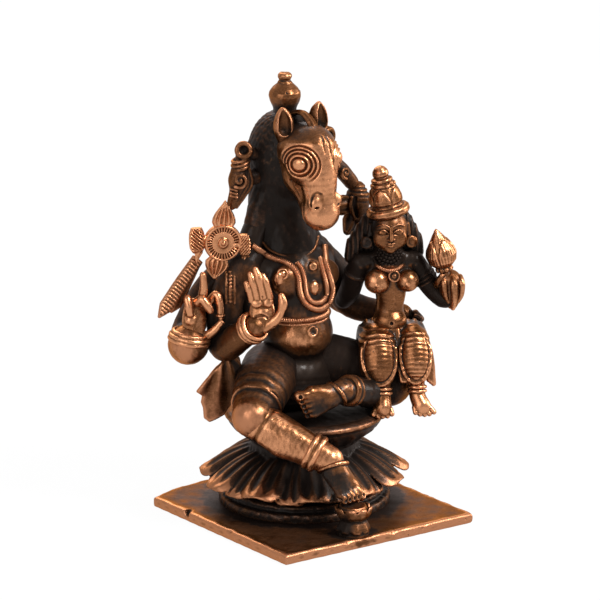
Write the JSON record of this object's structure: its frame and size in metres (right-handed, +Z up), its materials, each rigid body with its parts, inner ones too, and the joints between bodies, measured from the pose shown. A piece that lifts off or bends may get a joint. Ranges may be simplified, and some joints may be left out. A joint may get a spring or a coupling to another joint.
{
  "type": "copper deity idol",
  "caption": "Cast copper idol of a seated horse-headed deity with a consort on the left thigh, on a lotus throne and square plate; stands on a shelf or altar.",
  "frame": {"origin": "middle of the square part of the plate's underside, on the table", "axes": "+Z up, the deity faces -Y, the consort is on the +X side"},
  "size_m": [0.0575, 0.0498, 0.0893],
  "materials": {
    "polished_copper": "raised parts rubbed bright over an antique patina",
    "aged_copper": "brown antique patina",
    "dark_copper": "near-black patina in the recesses"
  },
  "bodies": {
    "root": {"armlet": "polished_copper", "base_plate": "aged_copper", "belly_band": "aged_copper", "chest_medallion": "polished_copper", "collar": "aged_copper", "conch": "aged_copper", "conch_flame_inner": "polished_copper", "conch_flame_low": "polished_copper", "consort_crown": "polished_copper", "consort_hair": "dark_copper", "consort_head": "polished_copper", "consort_left_arm": "aged_copper", "consort_left_foot": "polished_copper", "consort_left_hand": "polished_copper", "consort_necklace": "aged_copper", "consort_right_arm": "aged_copper", "consort_right_foot": "polished_copper", "consort_skirt": "polished_copper", "consort_torso": "polished_copper", "crown_finial": "polished_copper", "discus": "polished_copper", "ear_left": "aged_copper", "ear_right": "aged_copper", "flame_bottom": "polished_copper", "flame_inner": "polished_copper", "flame_outer": "polished_copper", "flame_top": "polished_copper", "foot_lotus": "aged_copper", "forelock": "aged_copper", "garland_inner": "aged_copper", "garland_outer": "aged_copper", "hip_flap": "aged_copper", "horse_head": "polished_copper", "left_anklet": "polished_copper", "left_foot": "polished_copper", "left_front_arm": "aged_copper", "left_front_hand": "polished_copper", "left_rear_arm": "aged_copper", "left_rear_hand": "polished_copper", "left_shin": "polished_copper", "left_thigh": "aged_copper", "lotus_bud": "polished_copper", "lotus_plinth": "dark_copper", "lotus_skirt": "dark_copper", "neck": "dark_copper", "right_anklet": "polished_copper", "right_foot": "polished_copper", "right_front_arm": "aged_copper", "right_front_bracelet": "polished_copper", "right_front_hand": "polished_copper", "right_rear_arm": "aged_copper", "right_rear_bracelet": "polished_copper", "right_rear_hand": "polished_copper", "right_shin": "polished_copper", "right_thigh": "aged_copper", "scarf_end": "aged_copper", "scroll_left": "aged_copper", "scroll_right": "aged_copper", "seat_bowl": "dark_copper", "torso": "polished_copper"}
  },
  "joints": []
}
